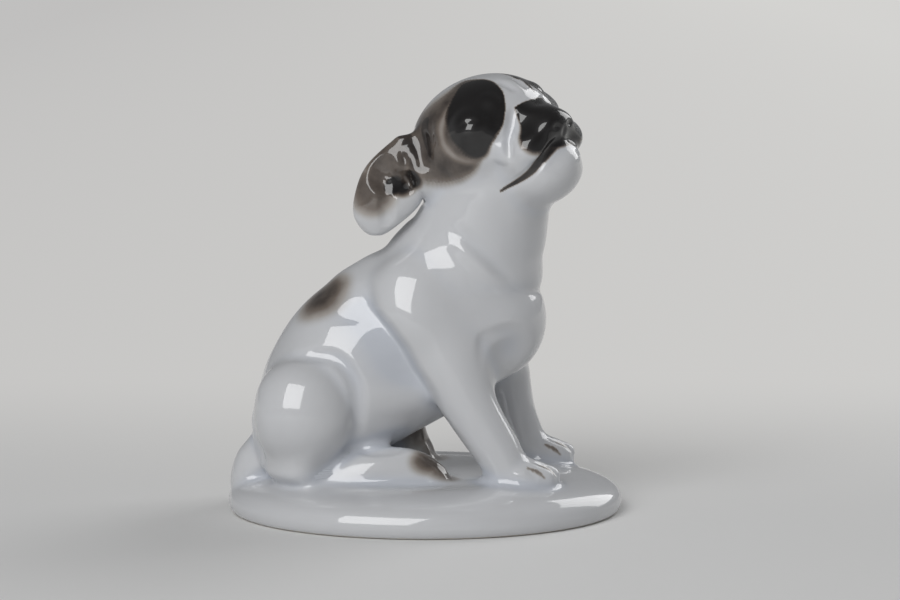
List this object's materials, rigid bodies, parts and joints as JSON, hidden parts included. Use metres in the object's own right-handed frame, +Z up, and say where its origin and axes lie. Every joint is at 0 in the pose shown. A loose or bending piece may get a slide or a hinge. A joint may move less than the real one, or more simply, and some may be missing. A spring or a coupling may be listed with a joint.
{
  "type": "figurine",
  "caption": "Glazed porcelain figurine of a sitting puppy looking up, on a low oval plinth.",
  "frame": {"origin": "middle of the plinth's underside, on the surface that the foot ring stands on", "axes": "+Z up, +X along the plinth towards the puppy's front, +Y to the puppy's left"},
  "size_m": [0.0892, 0.0712, 0.0988],
  "materials": {
    "white_glaze": "glossy",
    "painted_glaze": "glossy"
  },
  "bodies": {
    "root": {"plinth": "white_glaze", "torso": "white_glaze", "head": "painted_glaze", "left_ear": "painted_glaze", "right_ear": "painted_glaze", "left_foreleg": "white_glaze", "right_foreleg": "white_glaze", "left_haunch": "white_glaze", "right_haunch": "white_glaze", "left_hind_foot": "white_glaze", "right_hind_foot": "white_glaze", "tail": "white_glaze"}
  },
  "joints": []
}
